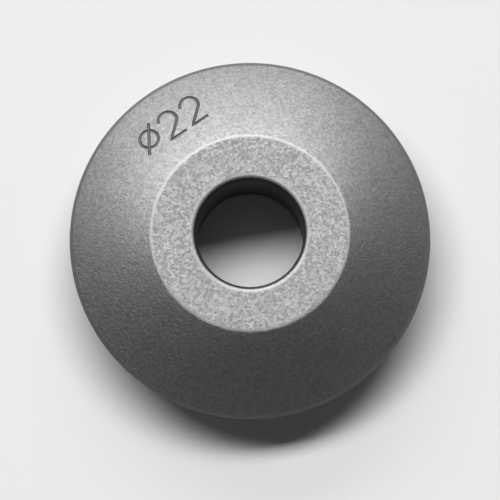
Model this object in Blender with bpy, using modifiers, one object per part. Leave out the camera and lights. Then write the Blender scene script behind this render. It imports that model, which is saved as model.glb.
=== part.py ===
"""Cutting wheel of a hand tile cutter.

One sintered carbide disc: a flat hub face on each side, crowned conical flanks that thin out to a ground
cutting edge, and a plain bore with broken edges for the axle screw that the wheel turns on.

Metres, +Z up. Z is the axle's axis, and the origin is the centre of the bore in the cutting edge's plane.
The wheel lies on its lower hub face.
"""

import math

import bpy

# Driving dimensions
WHEEL_DIAMETER = 0.0220  # over the cutting edge
HUB_THICKNESS = 0.0055  # from one hub face to the other
HUB_DIAMETER = 0.0120  # of each hub face, to the corner that the rounding takes off
HUB_ROUNDING = 0.0006  # radius between hub face and flank
BORE_DIAMETER = 0.0065
BORE_CHAMFER = 0.00025  # edge break of 45 degrees at both mouths of the bore
FLANK_CROWN = 0.00015  # how far the middle of the flank stands proud of a straight cone
BEVEL_WIDTH = 0.0002  # of each ground bevel, along the radius
EDGE_ANGLE = math.radians(90)  # between the two ground bevels
EDGE_LAND = 0.00005  # honed flat that is left on the cutting edge

# Facets
TURN_STEPS = 96
FLANK_STEPS = 6
ROUNDING_STEPS = 3
SHARP_ANGLE = math.radians(15)  # edges that turn by more than this keep a crisp line


def clear_scene():
    """Removes whatever the open file holds in its scene."""
    for thing in list(bpy.data.objects):
        bpy.data.objects.remove(thing, do_unlink=True)


def sintered_carbide():
    """Grey, dull metallic finish of a pressed and sintered carbide."""
    material = bpy.data.materials.new("sintered_carbide")
    material.use_nodes = True
    shader = material.node_tree.nodes["Principled BSDF"]
    shader.inputs["Base Color"].default_value = (0.33, 0.33, 0.325, 1.0)
    shader.inputs["Metallic"].default_value = 0.9
    shader.inputs["Roughness"].default_value = 0.55
    return material


def flank_curve(hub_corner, bevel_root):
    """Gives the flank's height and slope at any radius: a cone from hub to bevel with a crowned middle."""
    span = bevel_root[0] - hub_corner[0]
    drop = bevel_root[1] - hub_corner[1]

    def height(radius):
        along = (radius - hub_corner[0]) / span
        return hub_corner[1] + drop * along + 4 * FLANK_CROWN * along * (1 - along)

    def slope(radius):
        along = (radius - hub_corner[0]) / span
        return (drop + 4 * FLANK_CROWN * (1 - 2 * along)) / span

    return height, slope


def hub_rounding(hub_corner, fall):
    """Arc from the level hub face round to the flank, which falls away at the angle fall, in radians."""
    setback = HUB_ROUNDING * math.tan(fall / 2)
    centre = (hub_corner[0] - setback, hub_corner[1] - HUB_ROUNDING)
    turns = [fall * step / ROUNDING_STEPS for step in range(ROUNDING_STEPS + 1)]
    return [
        (centre[0] + HUB_ROUNDING * math.sin(turn), centre[1] + HUB_ROUNDING * math.cos(turn))
        for turn in turns
    ]


def upper_section():
    """Half of the wheel's section above the cutting edge's plane, as (radius, height), from bore to edge."""
    bore_radius = BORE_DIAMETER / 2
    wheel_radius = WHEEL_DIAMETER / 2
    face = HUB_THICKNESS / 2
    hub_corner = (HUB_DIAMETER / 2, face)
    edge = (wheel_radius, EDGE_LAND / 2)
    bevel_root = (wheel_radius - BEVEL_WIDTH, edge[1] + BEVEL_WIDTH * math.tan(EDGE_ANGLE / 2))

    height, slope = flank_curve(hub_corner, bevel_root)
    rounding = hub_rounding(hub_corner, -math.atan(slope(hub_corner[0])))
    flank_start = rounding[-1][0]
    flank = []
    for step in range(1, FLANK_STEPS + 1):
        radius = flank_start + (bevel_root[0] - flank_start) * step / FLANK_STEPS
        flank.append((radius, height(radius)))

    return [
        (bore_radius, face - BORE_CHAMFER),
        (bore_radius + BORE_CHAMFER, face),
        *rounding,
        *flank,
        edge,
    ]


def turned(name, section, material, collection):
    """Turns a closed section, given as (radius, height), about Z into a solid."""
    profile = bpy.data.meshes.new(name)
    corners = [(radius, 0.0, height) for radius, height in section]
    sides = [(index, (index + 1) % len(section)) for index in range(len(section))]
    profile.from_pydata(corners, sides, [])
    solid = bpy.data.objects.new(name, profile)
    collection.objects.link(solid)

    screw = solid.modifiers.new("Turn", "SCREW")
    screw.axis = "Z"
    screw.angle = math.tau
    screw.steps = TURN_STEPS
    screw.render_steps = TURN_STEPS
    screw.use_merge_vertices = True
    screw.merge_threshold = 1e-6
    with bpy.context.temp_override(object=solid, active_object=solid):
        bpy.ops.object.modifier_apply(modifier=screw.name)

    solid.data.shade_smooth()
    solid.data.set_sharp_from_angle(angle=SHARP_ANGLE)
    solid.data.materials.append(material)
    return solid


def cutting_wheel(collection):
    """The wheel is alike on both sides, so its lower half is the upper one mirrored in the edge's plane."""
    upper = upper_section()
    lower = [(radius, -height) for radius, height in reversed(upper)]
    return turned("cutting_wheel", upper + lower, sintered_carbide(), collection)


def main():
    clear_scene()
    collection = bpy.data.collections.new("tile_cutter_wheel")
    bpy.context.scene.collection.children.link(collection)
    cutting_wheel(collection)


main()
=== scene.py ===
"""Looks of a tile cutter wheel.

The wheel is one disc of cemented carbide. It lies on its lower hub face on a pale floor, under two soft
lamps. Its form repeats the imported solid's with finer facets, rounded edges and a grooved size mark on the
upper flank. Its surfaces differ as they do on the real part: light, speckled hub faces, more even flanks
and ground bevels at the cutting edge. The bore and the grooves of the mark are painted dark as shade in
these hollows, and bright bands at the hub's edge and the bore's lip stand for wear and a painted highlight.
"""

import math

import bmesh
import bpy
from mathutils import Matrix, Vector


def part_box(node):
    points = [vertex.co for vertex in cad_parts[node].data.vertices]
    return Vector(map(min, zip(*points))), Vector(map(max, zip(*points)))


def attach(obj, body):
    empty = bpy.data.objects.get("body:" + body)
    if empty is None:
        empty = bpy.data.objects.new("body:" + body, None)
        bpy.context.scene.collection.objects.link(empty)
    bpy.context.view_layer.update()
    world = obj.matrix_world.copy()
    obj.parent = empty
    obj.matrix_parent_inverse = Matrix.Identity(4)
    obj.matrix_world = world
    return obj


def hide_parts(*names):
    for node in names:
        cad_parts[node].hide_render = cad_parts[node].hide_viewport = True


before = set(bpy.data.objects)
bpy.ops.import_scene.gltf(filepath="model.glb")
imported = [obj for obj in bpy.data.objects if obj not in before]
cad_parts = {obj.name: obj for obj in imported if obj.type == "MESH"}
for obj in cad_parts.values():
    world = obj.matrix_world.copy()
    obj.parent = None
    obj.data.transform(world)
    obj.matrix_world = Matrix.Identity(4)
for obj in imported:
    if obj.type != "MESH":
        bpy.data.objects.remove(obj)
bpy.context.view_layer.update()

# Sizes of the wheel, in metres
NODE = "cutting_wheel"
LOW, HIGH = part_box(NODE)
WHEEL_RADIUS = HIGH.x
HUB_HEIGHT = HIGH.z  # of the upper hub face above the cutting edge's plane
HUB_RADIUS = 0.0060
HUB_ROUNDING = 0.0006  # radius between hub face and flank
BORE_RADIUS = 0.00325
BORE_CHAMFER = 0.00025
FLANK_CROWN = 0.00015  # how far the middle of the flank stands proud of a straight cone
BEVEL_WIDTH = 0.0002  # of each ground bevel, along the radius
EDGE_ANGLE = math.radians(90)  # between the two ground bevels
EDGE_LAND = 0.00005  # honed flat on the cutting edge
LIP_ROUNDING = 0.00025  # radius of the worn lips at both ends of the bore's chamfer
LIP_REACH = LIP_ROUNDING * math.tan(math.pi / 8)  # of a lip from its corner, along the chamfer
BEVEL_ROUNDING = 0.00005  # radius where flank and ground bevel meet

# Corners of the upper half of the wheel's section, as (radius, height)
HUB_CORNER = (HUB_RADIUS, HUB_HEIGHT)
CHAMFER_TOP = (BORE_RADIUS + BORE_CHAMFER, HUB_HEIGHT)
CHAMFER_FOOT = (BORE_RADIUS, HUB_HEIGHT - BORE_CHAMFER)
EDGE_CORNER = (WHEEL_RADIUS, EDGE_LAND / 2)
BEVEL_ROOT = (WHEEL_RADIUS - BEVEL_WIDTH, EDGE_LAND / 2 + BEVEL_WIDTH * math.tan(EDGE_ANGLE / 2))

# Distances from the axis at which a finish gives way to the next: bore, hub face, flank, ground bevel
FINISH_LIMITS = (CHAMFER_TOP[0] - LIP_REACH * math.cos(math.pi / 4), HUB_RADIUS, BEVEL_ROOT[0])

# Size mark on the upper flank: a diameter sign and the wheel's diameter in millimetres
MARK_AZIMUTH = math.radians(125)
MARK_RADIUS = 0.00845  # from the axle's axis to the middle of the mark
GLYPH_HEIGHT = 0.0018
GLYPH_WIDTH = 0.00115
GLYPH_PITCH = 0.0016
BOW_START = 165  # degrees, where the bow of a figure 2 begins
BOW_END = -35  # degrees, where it runs into the neck
GROOVE_RADIUS = 0.00011  # of the round-nosed tool
GROOVE_LIFT = 0.00003  # of the tool's centre above the flank, which leaves a groove 0.08 mm deep

# Facets
TURN_STEPS = 384
FLANK_STEPS = 8
HUB_ROUNDING_STEPS = 6
LIP_STEPS = 6
BEVEL_STEPS = 3
ARC_STEPS = 20
STROKE_STEPS = 5
GROOVE_STEPS = 3  # bevel resolution of the strokes' round section
HOLD = 0.0002  # distance of the rings that keep a flat face flat up to its rounded edge
SHARP_ANGLE = math.radians(35)
SAME_PLACE = 1e-7  # points closer than this are one

# Grain of the carbide
CLUMP_CONTRAST = 0.5
MOTTLE_SIZE = 0.0013
MOTTLE_CONTRAST = 0.3
SPARKLE_SHARE = 0.08
SPARKLE_COLOUR = (0.85, 0.85, 0.84)
CLUMP_DETAIL = 3.0
SOFT_DETAIL = 2.0
NOISE_ROUGHNESS = 0.6

# Edges that are worn bright, with a painted highlight along them
# Colour of the bright rings: worn metal, and a painted highlight along the edge
WORN_AND_HIGHLIGHT_COLOUR = (0.49, 0.49, 0.484)
WORN_AND_HIGHLIGHT_ROUGHNESS = 0.62
HUB_WEAR_AND_HIGHLIGHT_RING = (HUB_RADIUS, 0.00012)  # radius and width of the worn ring with a painted highlight at the hub's edge
LIP_WEAR_AND_HIGHLIGHT_RING = (CHAMFER_TOP[0], 0.00025)  # and of the one at the bore's lip
RING_FADE = (0.3, 1.0)  # shares of the width between which a ring fades out
RING_NOISE_SIZE = 0.0005
RING_NOISE_RANGE = (0.3, 0.7)  # of the noise that makes a ring uneven
RING_WIDTHS = (0.6, 1.4)
RING_STRENGTHS = (0.6, 1.0)

# Studio
FLOOR_SIZE = 6.0
FLOOR_COLOUR = (0.8, 0.8, 0.8)
FLOOR_ROUGHNESS = 0.9
FLOOR_SPECULAR = 0.1
LAMP_DISTANCE = 1.5
LAMP_AZIMUTH = math.radians(101)
KEY_POLAR = math.radians(33)  # from straight up
KEY_SIZE = (2.1, 0.42)
KEY_POWER = 29.5
STRIP_POLAR = math.radians(64)
STRIP_SIZE = (1.95, 0.32)
STRIP_POWER = 9.5
SKY_LEVEL = 0.05
HORIZON_LEVEL = 0.5
HORIZON_TOP = 0.06  # height, on the unit sphere, above which the sky has its own level
CAMERA_ELEVATION = math.radians(81)
CAMERA_DISTANCE = 0.4
CAMERA_SENSOR = 36.0  # mm
VIEW_WIDTH = 0.0305  # of the picture, at the wheel
VIEW_CENTRE = Vector((0, -0.0006, 0))  # in the middle of the picture


def flank_height(radius):
    """Height of the upper flank: a cone from hub corner to ground bevel with a crowned middle."""
    along = (radius - HUB_CORNER[0]) / (BEVEL_ROOT[0] - HUB_CORNER[0])
    return HUB_CORNER[1] + (BEVEL_ROOT[1] - HUB_CORNER[1]) * along + 4 * FLANK_CROWN * along * (1 - along)


def fall_between(inner, outer):
    """Angle at which the section falls from one point to the next one outwards."""
    return math.atan2(inner[1] - outer[1], outer[0] - inner[0])


def flank_points():
    """Points of the section between hub corner and ground bevel."""
    span = BEVEL_ROOT[0] - HUB_RADIUS
    radii = [HUB_RADIUS + span * step / FLANK_STEPS for step in range(1, FLANK_STEPS)]
    return [(radius, flank_height(radius)) for radius in radii]


def round_ring(mesh, place, rounding, turn, steps):
    """Rounds the two edge rings, above and below, at a corner where the section turns by an angle."""
    rings = []
    for edge in mesh.edges:
        spots = [(math.hypot(vertex.co.x, vertex.co.y), abs(vertex.co.z)) for vertex in edge.verts]
        if all(math.dist(spot, place) < SAME_PLACE for spot in spots):
            rings.append(edge)
    bmesh.ops.bevel(
        mesh,
        geom=rings,
        offset=rounding * math.tan(turn / 2),
        offset_type="OFFSET",
        affect="EDGES",
        segments=steps,
        profile=0.5,
        material=-1,
    )


def wheel_mesh():
    """Turns the section about Z and rounds its corners."""
    flank = flank_points()
    upper = [
        (BORE_RADIUS, CHAMFER_FOOT[1] - HOLD),
        CHAMFER_FOOT,
        CHAMFER_TOP,
        (CHAMFER_TOP[0] + HOLD, HUB_HEIGHT),
        (HUB_RADIUS - HUB_ROUNDING / 2, HUB_HEIGHT),
        HUB_CORNER,
        *flank,
        BEVEL_ROOT,
        EDGE_CORNER,
    ]
    section = upper + [(radius, -height) for radius, height in reversed(upper)]
    mesh = bmesh.new()
    corners = [mesh.verts.new((radius, 0, height)) for radius, height in section]
    for index, corner in enumerate(corners):
        mesh.edges.new((corner, corners[(index + 1) % len(corners)]))
    bmesh.ops.spin(
        mesh,
        geom=mesh.verts[:] + mesh.edges[:],
        cent=(0, 0, 0),
        axis=(0, 0, 1),
        angle=math.tau,
        steps=TURN_STEPS,
        use_merge=True,
    )
    bmesh.ops.remove_doubles(mesh, verts=mesh.verts, dist=SAME_PLACE)
    bmesh.ops.recalc_face_normals(mesh, faces=mesh.faces)

    round_ring(mesh, HUB_CORNER, HUB_ROUNDING, fall_between(HUB_CORNER, flank[0]), HUB_ROUNDING_STEPS)
    round_ring(mesh, CHAMFER_TOP, LIP_ROUNDING, math.pi / 4, LIP_STEPS)
    round_ring(mesh, CHAMFER_FOOT, LIP_ROUNDING, math.pi / 4, LIP_STEPS)
    bevel_turn = EDGE_ANGLE / 2 - fall_between(flank[-1], BEVEL_ROOT)
    round_ring(mesh, BEVEL_ROOT, BEVEL_ROUNDING, bevel_turn, BEVEL_STEPS)
    return mesh


def straight(start, end):
    """Points along a straight stroke, close enough for it to follow the curved flank."""
    span = (end[0] - start[0], end[1] - start[1])
    shares = [step / STROKE_STEPS for step in range(STROKE_STEPS + 1)]
    return [(start[0] + span[0] * share, start[1] + span[1] * share) for share in shares]


def bowed(centre, radius, start, end, steps):
    """Points along a round stroke, between two angles in degrees."""
    turns = [math.radians(start + (end - start) * step / steps) for step in range(steps + 1)]
    return [(centre[0] + radius * math.cos(turn), centre[1] + radius * math.sin(turn)) for turn in turns]


def glyph_two(left):
    """Stroke of a figure 2, in the mark's own plane: bow, slanted neck and foot."""
    bow = GLYPH_WIDTH / 2
    top = bowed((left + bow, GLYPH_HEIGHT / 2 - bow), bow, BOW_START, BOW_END, ARC_STEPS)
    heel = (left, -GLYPH_HEIGHT / 2)
    toe = (left + GLYPH_WIDTH, -GLYPH_HEIGHT / 2)
    return [top + straight(top[-1], heel)[1:] + straight(heel, toe)[1:]]


def glyph_diameter(left):
    """Strokes of a diameter sign: a ring and a slanted bar across it."""
    ring = bowed((left + GLYPH_WIDTH / 2, 0), GLYPH_WIDTH / 2, 0, 360, 2 * ARC_STEPS)
    bar = straight((left, -GLYPH_HEIGHT / 2), (left + GLYPH_WIDTH, GLYPH_HEIGHT / 2))
    return [ring, bar]


def on_flank(point):
    """Takes a point of the mark's plane to the flank: x runs along the rim and y outwards."""
    turned = Matrix.Rotation(MARK_AZIMUTH - math.pi / 2, 2) @ Vector((point[0], MARK_RADIUS + point[1]))
    return turned.x, turned.y, flank_height(turned.length) + GROOVE_LIFT


def mark_cutter():
    """Round bars along the strokes of the size mark, as one mesh object."""
    left = -(2 * GLYPH_PITCH + GLYPH_WIDTH) / 2
    curve = bpy.data.curves.new("mark_strokes", "CURVE")
    curve.dimensions = "3D"
    curve.bevel_depth = GROOVE_RADIUS
    curve.bevel_resolution = GROOVE_STEPS
    curve.use_fill_caps = True
    for stroke in glyph_diameter(left) + glyph_two(left + GLYPH_PITCH) + glyph_two(left + 2 * GLYPH_PITCH):
        closed = math.dist(stroke[0], stroke[-1]) < SAME_PLACE
        points = stroke[:-1] if closed else stroke
        spline = curve.splines.new("POLY")
        spline.points.add(len(points) - 1)
        spline.use_cyclic_u = closed
        for place, point in zip(spline.points, points):
            place.co = (*on_flank(point), 1)
    strokes = bpy.data.objects.new("mark_strokes", curve)
    bpy.context.scene.collection.objects.link(strokes)
    data = bpy.data.meshes.new_from_object(strokes.evaluated_get(bpy.context.evaluated_depsgraph_get()))
    bpy.data.objects.remove(strokes)

    mesh = bmesh.new()
    mesh.from_mesh(data)
    bmesh.ops.remove_doubles(mesh, verts=mesh.verts, dist=SAME_PLACE)
    bmesh.ops.recalc_face_normals(mesh, faces=mesh.faces)
    mesh.to_mesh(data)
    mesh.free()
    data.materials.clear()
    # The grooves get a dark colour that paints shade into them
    data.materials.append(mark_groove_painted_shade())
    cutter = bpy.data.objects.new("mark_cutter", data)
    bpy.context.scene.collection.objects.link(cutter)
    return cutter


def cut_mark(wheel):
    """Grooves the size mark into the flank."""
    cutter = mark_cutter()
    cut = wheel.modifiers.new("Size mark", "BOOLEAN")
    cut.operation = "DIFFERENCE"
    cut.solver = "EXACT"
    cut.use_self = True
    cut.material_mode = "TRANSFER"
    cut.object = cutter
    with bpy.context.temp_override(object=wheel, active_object=wheel):
        bpy.ops.object.modifier_apply(modifier=cut.name)
    bpy.data.objects.remove(cutter)


def finish_of(face):
    """Index of the finish that a face of the wheel has, by its distance from the axis."""
    centre = face.calc_center_median()
    radius = math.hypot(centre.x, centre.y)
    return sum(radius > limit for limit in FINISH_LIMITS)


def cutting_wheel():
    """The wheel as one object, with a finish for each of its surfaces."""
    mesh = wheel_mesh()
    for face in mesh.faces:
        face.material_index = finish_of(face)
    data = bpy.data.meshes.new("carbide_wheel")
    mesh.to_mesh(data)
    mesh.free()
    for finish in (bore_painted_shade(), pressed_hub(), pressed_flank(), ground_bevel()):
        data.materials.append(finish)
    wheel = bpy.data.objects.new("carbide_wheel", data)
    bpy.context.scene.collection.objects.link(wheel)
    cut_mark(wheel)
    wheel.data.shade_smooth()
    wheel.data.set_sharp_from_angle(angle=SHARP_ANGLE)
    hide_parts(NODE)
    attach(wheel, "root")


def add_node(tree, kind, inputs=None, **settings):
    """Adds a node, sets its properties, and sets or links its inputs."""
    node = tree.nodes.new(kind)
    for name, value in settings.items():
        setattr(node, name, value)
    for name, value in (inputs or {}).items():
        if isinstance(value, bpy.types.NodeSocket):
            tree.links.new(value, node.inputs[name])
        else:
            node.inputs[name].default_value = value
    return node


def calculate(tree, operation, first, second=0.0):
    """Result of a math node."""
    return add_node(tree, "ShaderNodeMath", {0: first, 1: second}, operation=operation).outputs[0]


def mix_colours(tree, share, first, second):
    """Colour between two colours, each a socket or three numbers."""
    inputs = {0: share, 6: first, 7: second}
    for socket in (6, 7):
        if not isinstance(inputs[socket], bpy.types.NodeSocket):
            inputs[socket] = (*inputs[socket], 1)
    return add_node(tree, "ShaderNodeMix", inputs, data_type="RGBA").outputs[2]


def remap(tree, value, old_range, new_range, interpolation="LINEAR"):
    """Takes a value from one range to another and keeps it inside."""
    inputs = {"Value": value, "From Min": old_range[0], "From Max": old_range[1]}
    inputs.update({"To Min": new_range[0], "To Max": new_range[1]})
    return add_node(tree, "ShaderNodeMapRange", inputs, interpolation_type=interpolation).outputs["Result"]


def noise(tree, place, scale, detail):
    """Soft noise from 0 to 1."""
    inputs = {"Vector": place, "Scale": scale, "Detail": detail, "Roughness": NOISE_ROUGHNESS}
    return add_node(tree, "ShaderNodeTexNoise", inputs).outputs["Fac"]


def object_place(tree):
    """Place on the wheel, in metres."""
    return add_node(tree, "ShaderNodeTexCoord").outputs["Object"]


def radius_at(tree, place):
    """Distance from the axle's axis."""
    level = add_node(tree, "ShaderNodeVectorMath", {0: place, 1: (1, 1, 0)}, operation="MULTIPLY")
    inputs = {0: level.outputs["Vector"]}
    return add_node(tree, "ShaderNodeVectorMath", inputs, operation="LENGTH").outputs["Value"]


def new_group(name, inputs, outputs):
    """Makes a node group with number sockets; returns the group, its inputs and its outputs."""
    group = bpy.data.node_groups.new(name, "ShaderNodeTree")
    for label, value in inputs.items():
        socket = group.interface.new_socket(label, in_out="INPUT", socket_type="NodeSocketFloat")
        socket.default_value = value
    for label in outputs:
        group.interface.new_socket(label, in_out="OUTPUT", socket_type="NodeSocketFloat")
    return group, add_node(group, "NodeGroupInput").outputs, add_node(group, "NodeGroupOutput").inputs


def grain_group():
    """Grain of sintered carbide: single grains, soft clumps, a slow mottle and a few bright crystals."""
    group, given, result = new_group(
        "sintered_grain", {"Grain Size": 0.0001, "Speckle": 0.5}, ("Tone", "Height", "Sparkle")
    )
    place = object_place(group)
    scale = calculate(group, "DIVIDE", 1.0, given["Grain Size"])
    crystals = add_node(group, "ShaderNodeTexVoronoi", {"Vector": place, "Scale": scale}).outputs["Color"]
    crystal = add_node(group, "ShaderNodeSeparateColor", {"Color": crystals}).outputs
    single = calculate(group, "SUBTRACT", crystal["Red"], 0.5)
    grain = calculate(group, "MULTIPLY", single, given["Speckle"])
    clump = noise(group, place, scale, CLUMP_DETAIL)
    soft = calculate(group, "MULTIPLY", calculate(group, "SUBTRACT", clump, 0.5), CLUMP_CONTRAST)
    mottle = calculate(group, "SUBTRACT", noise(group, place, 1 / MOTTLE_SIZE, SOFT_DETAIL), 0.5)
    slow = calculate(group, "MULTIPLY", mottle, MOTTLE_CONTRAST)
    tone = calculate(group, "ADD", calculate(group, "ADD", grain, soft), calculate(group, "ADD", slow, 0.5))
    group.links.new(tone, result["Tone"])
    group.links.new(calculate(group, "ADD", clump, grain), result["Height"])
    sparkle = remap(group, crystal["Green"], (1 - SPARKLE_SHARE, 1.0), (0.0, 1.0), "SMOOTHSTEP")
    group.links.new(sparkle, result["Sparkle"])
    return group


def ring_group():
    """Mask of a ring round the axle's axis, uneven in width and strength, for an edge worn bright with a
    painted highlight.
    """
    group, given, result = new_group("wear_and_highlight_ring", {"Radius": 0.006, "Width": 0.0001}, ("Mask",))
    place = object_place(group)
    offset = calculate(group, "SUBTRACT", radius_at(group, place), given["Radius"])
    uneven = noise(group, place, 1 / RING_NOISE_SIZE, SOFT_DETAIL)
    width = calculate(group, "MULTIPLY", given["Width"], remap(group, uneven, RING_NOISE_RANGE, RING_WIDTHS))
    share = calculate(group, "DIVIDE", calculate(group, "ABSOLUTE", offset), width)
    fade = remap(group, share, RING_FADE, (1.0, 0.0), "SMOOTHSTEP")
    mask = calculate(group, "MULTIPLY", fade, remap(group, uneven, RING_NOISE_RANGE, RING_STRENGTHS))
    group.links.new(mask, result["Mask"])
    return group


def lines_group():
    """Relief of fine lines that run round the axle's axis."""
    group, given, result = new_group("round_lines", {"Line Size": 0.00003}, ("Height",))
    place = object_place(group)
    height = add_node(group, "ShaderNodeSeparateXYZ", {"Vector": place}).outputs["Z"]
    inputs = {"X": radius_at(group, place), "Y": height}
    section = add_node(group, "ShaderNodeCombineXYZ", inputs).outputs["Vector"]
    scale = calculate(group, "DIVIDE", 1.0, given["Line Size"])
    group.links.new(noise(group, section, scale, SOFT_DETAIL), result["Height"])
    return group


GRAIN = grain_group()
WEAR_AND_HIGHLIGHT_RING = ring_group()
ROUND_LINES = lines_group()


def carbide(name, grain, relief, colours, roughness, sparkle=0.0, rings=(), lines=None):
    """One finish of the carbide.

    grain is (size, speckle), and relief the height of the grain. colours and roughness run from the darkest
    grain to the lightest. rings are the (radius, width) of edges worn bright, with a painted highlight, and
    lines is (size, height) of round lines.
    """
    material = bpy.data.materials.new(name)
    material.use_nodes = True
    tree = material.node_tree
    shader = tree.nodes["Principled BSDF"]
    shader.inputs["Metallic"].default_value = 1.0
    surface = add_node(tree, "ShaderNodeGroup", node_tree=GRAIN)
    surface.inputs["Grain Size"].default_value = grain[0]
    surface.inputs["Speckle"].default_value = grain[1]
    tone = surface.outputs["Tone"]
    colour = mix_colours(tree, tone, *colours)
    crystals = calculate(tree, "MULTIPLY", surface.outputs["Sparkle"], sparkle)
    colour = mix_colours(tree, crystals, colour, SPARKLE_COLOUR)
    gloss = remap(tree, tone, (0.0, 1.0), roughness)
    for radius, width in rings:
        ring = add_node(tree, "ShaderNodeGroup", node_tree=WEAR_AND_HIGHLIGHT_RING)
        ring.inputs["Radius"].default_value = radius
        ring.inputs["Width"].default_value = width
        mask = ring.outputs["Mask"]
        # Brighter band at the edge: wear, and a painted highlight
        colour = mix_colours(tree, mask, colour, WORN_AND_HIGHLIGHT_COLOUR)
        gloss = add_node(tree, "ShaderNodeMix", {0: mask, 2: gloss, 3: WORN_AND_HIGHLIGHT_ROUGHNESS}).outputs[0]
    height = calculate(tree, "MULTIPLY", surface.outputs["Height"], relief)
    if lines:
        group = add_node(tree, "ShaderNodeGroup", node_tree=ROUND_LINES)
        group.inputs["Line Size"].default_value = lines[0]
        line_height = calculate(tree, "MULTIPLY", group.outputs["Height"], lines[1])
        height = calculate(tree, "ADD", height, line_height)
    bump = add_node(tree, "ShaderNodeBump", {"Strength": 1.0, "Distance": 1.0, "Height": height})
    tree.links.new(colour, shader.inputs["Base Color"])
    tree.links.new(gloss, shader.inputs["Roughness"])
    tree.links.new(bump.outputs["Normal"], shader.inputs["Normal"])
    return material


def pressed_flank():
    """Even grain of the flanks, with a bright band at the hub's edge for wear and a painted highlight."""
    return carbide(
        "pressed_flank",
        grain=(0.00013, 0.6),
        relief=0.000012,
        colours=((0.21, 0.21, 0.208), (0.38, 0.38, 0.376)),
        roughness=(0.53, 0.47),
        sparkle=0.05,
        rings=[HUB_WEAR_AND_HIGHLIGHT_RING],
    )


def pressed_hub():
    """Lighter, more speckled grain of the hub faces and their inner lips, with bright bands at both edges
    for wear and a painted highlight.
    """
    return carbide(
        "pressed_hub",
        grain=(0.00014, 1.0),
        relief=0.000011,
        colours=((0.29, 0.29, 0.287), (0.465, 0.465, 0.461)),
        roughness=(0.65, 0.57),
        sparkle=0.1,
        rings=[HUB_WEAR_AND_HIGHLIGHT_RING, LIP_WEAR_AND_HIGHLIGHT_RING],
    )


def bore_painted_shade():
    """Wall and chamfers of the bore, painted dark as shade inside the hole, with faint lines from the
    pressing pin.
    """
    return carbide(
        "bore_painted_shade",
        grain=(0.00012, 0.35),
        relief=0.000004,
        colours=((0.1, 0.1, 0.099), (0.17, 0.17, 0.168)),
        roughness=(0.6, 0.5),
        lines=(0.00006, 0.000003),
    )


def ground_bevel():
    """Darker, smoother bevels at the cutting edge, with grinding lines round the rim."""
    return carbide(
        "ground_bevel",
        grain=(0.00006, 0.15),
        relief=0.000001,
        colours=((0.2, 0.2, 0.201), (0.3, 0.3, 0.301)),
        roughness=(0.42, 0.35),
        lines=(0.00002, 0.0000015),
    )


def mark_groove_painted_shade():
    """Floor of the grooves of the size mark, painted dark as shade in the grooves."""
    return carbide(
        "mark_groove_painted_shade",
        grain=(0.00005, 0.3),
        relief=0.000003,
        colours=((0.1, 0.1, 0.099), (0.2, 0.2, 0.198)),
        roughness=(0.7, 0.6),
    )


def direction(azimuth, polar):
    """Unit vector at an azimuth from +X and an angle from straight up."""
    level = math.sin(polar)
    return Vector((level * math.cos(azimuth), level * math.sin(azimuth), math.cos(polar)))


def floor():
    """Plain pale floor that the wheel lies on."""
    mesh = bmesh.new()
    bmesh.ops.create_grid(
        mesh, x_segments=1, y_segments=1, size=FLOOR_SIZE / 2, matrix=Matrix.Translation((0, 0, LOW.z))
    )
    data = bpy.data.meshes.new("floor")
    mesh.to_mesh(data)
    mesh.free()
    material = bpy.data.materials.new("pale_floor")
    material.use_nodes = True
    shader = material.node_tree.nodes["Principled BSDF"]
    shader.inputs["Base Color"].default_value = (*FLOOR_COLOUR, 1)
    shader.inputs["Roughness"].default_value = FLOOR_ROUGHNESS
    shader.inputs["Specular IOR Level"].default_value = FLOOR_SPECULAR
    data.materials.append(material)
    plane = bpy.data.objects.new("floor", data)
    bpy.context.scene.collection.objects.link(plane)


def lamp(name, polar, size, power):
    """A wide soft lamp behind the wheel, turned towards it."""
    light = bpy.data.lights.new(name, "AREA")
    light.shape = "RECTANGLE"
    light.size, light.size_y = size
    light.energy = power
    holder = bpy.data.objects.new(name, light)
    towards = direction(LAMP_AZIMUTH, polar)
    holder.location = towards * LAMP_DISTANCE
    holder.rotation_euler = towards.to_track_quat("Z", "Y").to_euler()
    bpy.context.scene.collection.objects.link(holder)


def studio_world():
    """Dim sky that turns pale towards the horizon."""
    world = bpy.data.worlds.new("studio")
    world.use_nodes = True
    tree = world.node_tree
    view = add_node(tree, "ShaderNodeTexCoord").outputs["Generated"]
    height = add_node(tree, "ShaderNodeSeparateXYZ", {"Vector": view}).outputs["Z"]
    level = remap(tree, height, (0.0, HORIZON_TOP), (HORIZON_LEVEL, SKY_LEVEL), "SMOOTHSTEP")
    background = tree.nodes["Background"]
    background.inputs["Color"].default_value = (1, 1, 1, 1)
    tree.links.new(level, background.inputs["Strength"])
    bpy.context.scene.world = world


def camera():
    """Camera that looks steeply down on the wheel."""
    data = bpy.data.cameras.new("camera")
    data.sensor_width = CAMERA_SENSOR
    data.lens = CAMERA_SENSOR * CAMERA_DISTANCE / VIEW_WIDTH
    holder = bpy.data.objects.new("camera", data)
    back = direction(-math.pi / 2, math.pi / 2 - CAMERA_ELEVATION)
    holder.location = VIEW_CENTRE + back * CAMERA_DISTANCE
    holder.rotation_euler = (-back).to_track_quat("-Z", "Y").to_euler()
    bpy.context.scene.collection.objects.link(holder)
    bpy.context.scene.camera = holder


cutting_wheel()
floor()
lamp("key_lamp", KEY_POLAR, KEY_SIZE, KEY_POWER)
lamp("strip_lamp", STRIP_POLAR, STRIP_SIZE, STRIP_POWER)
studio_world()
camera()
bpy.context.scene.view_settings.view_transform = "Standard"
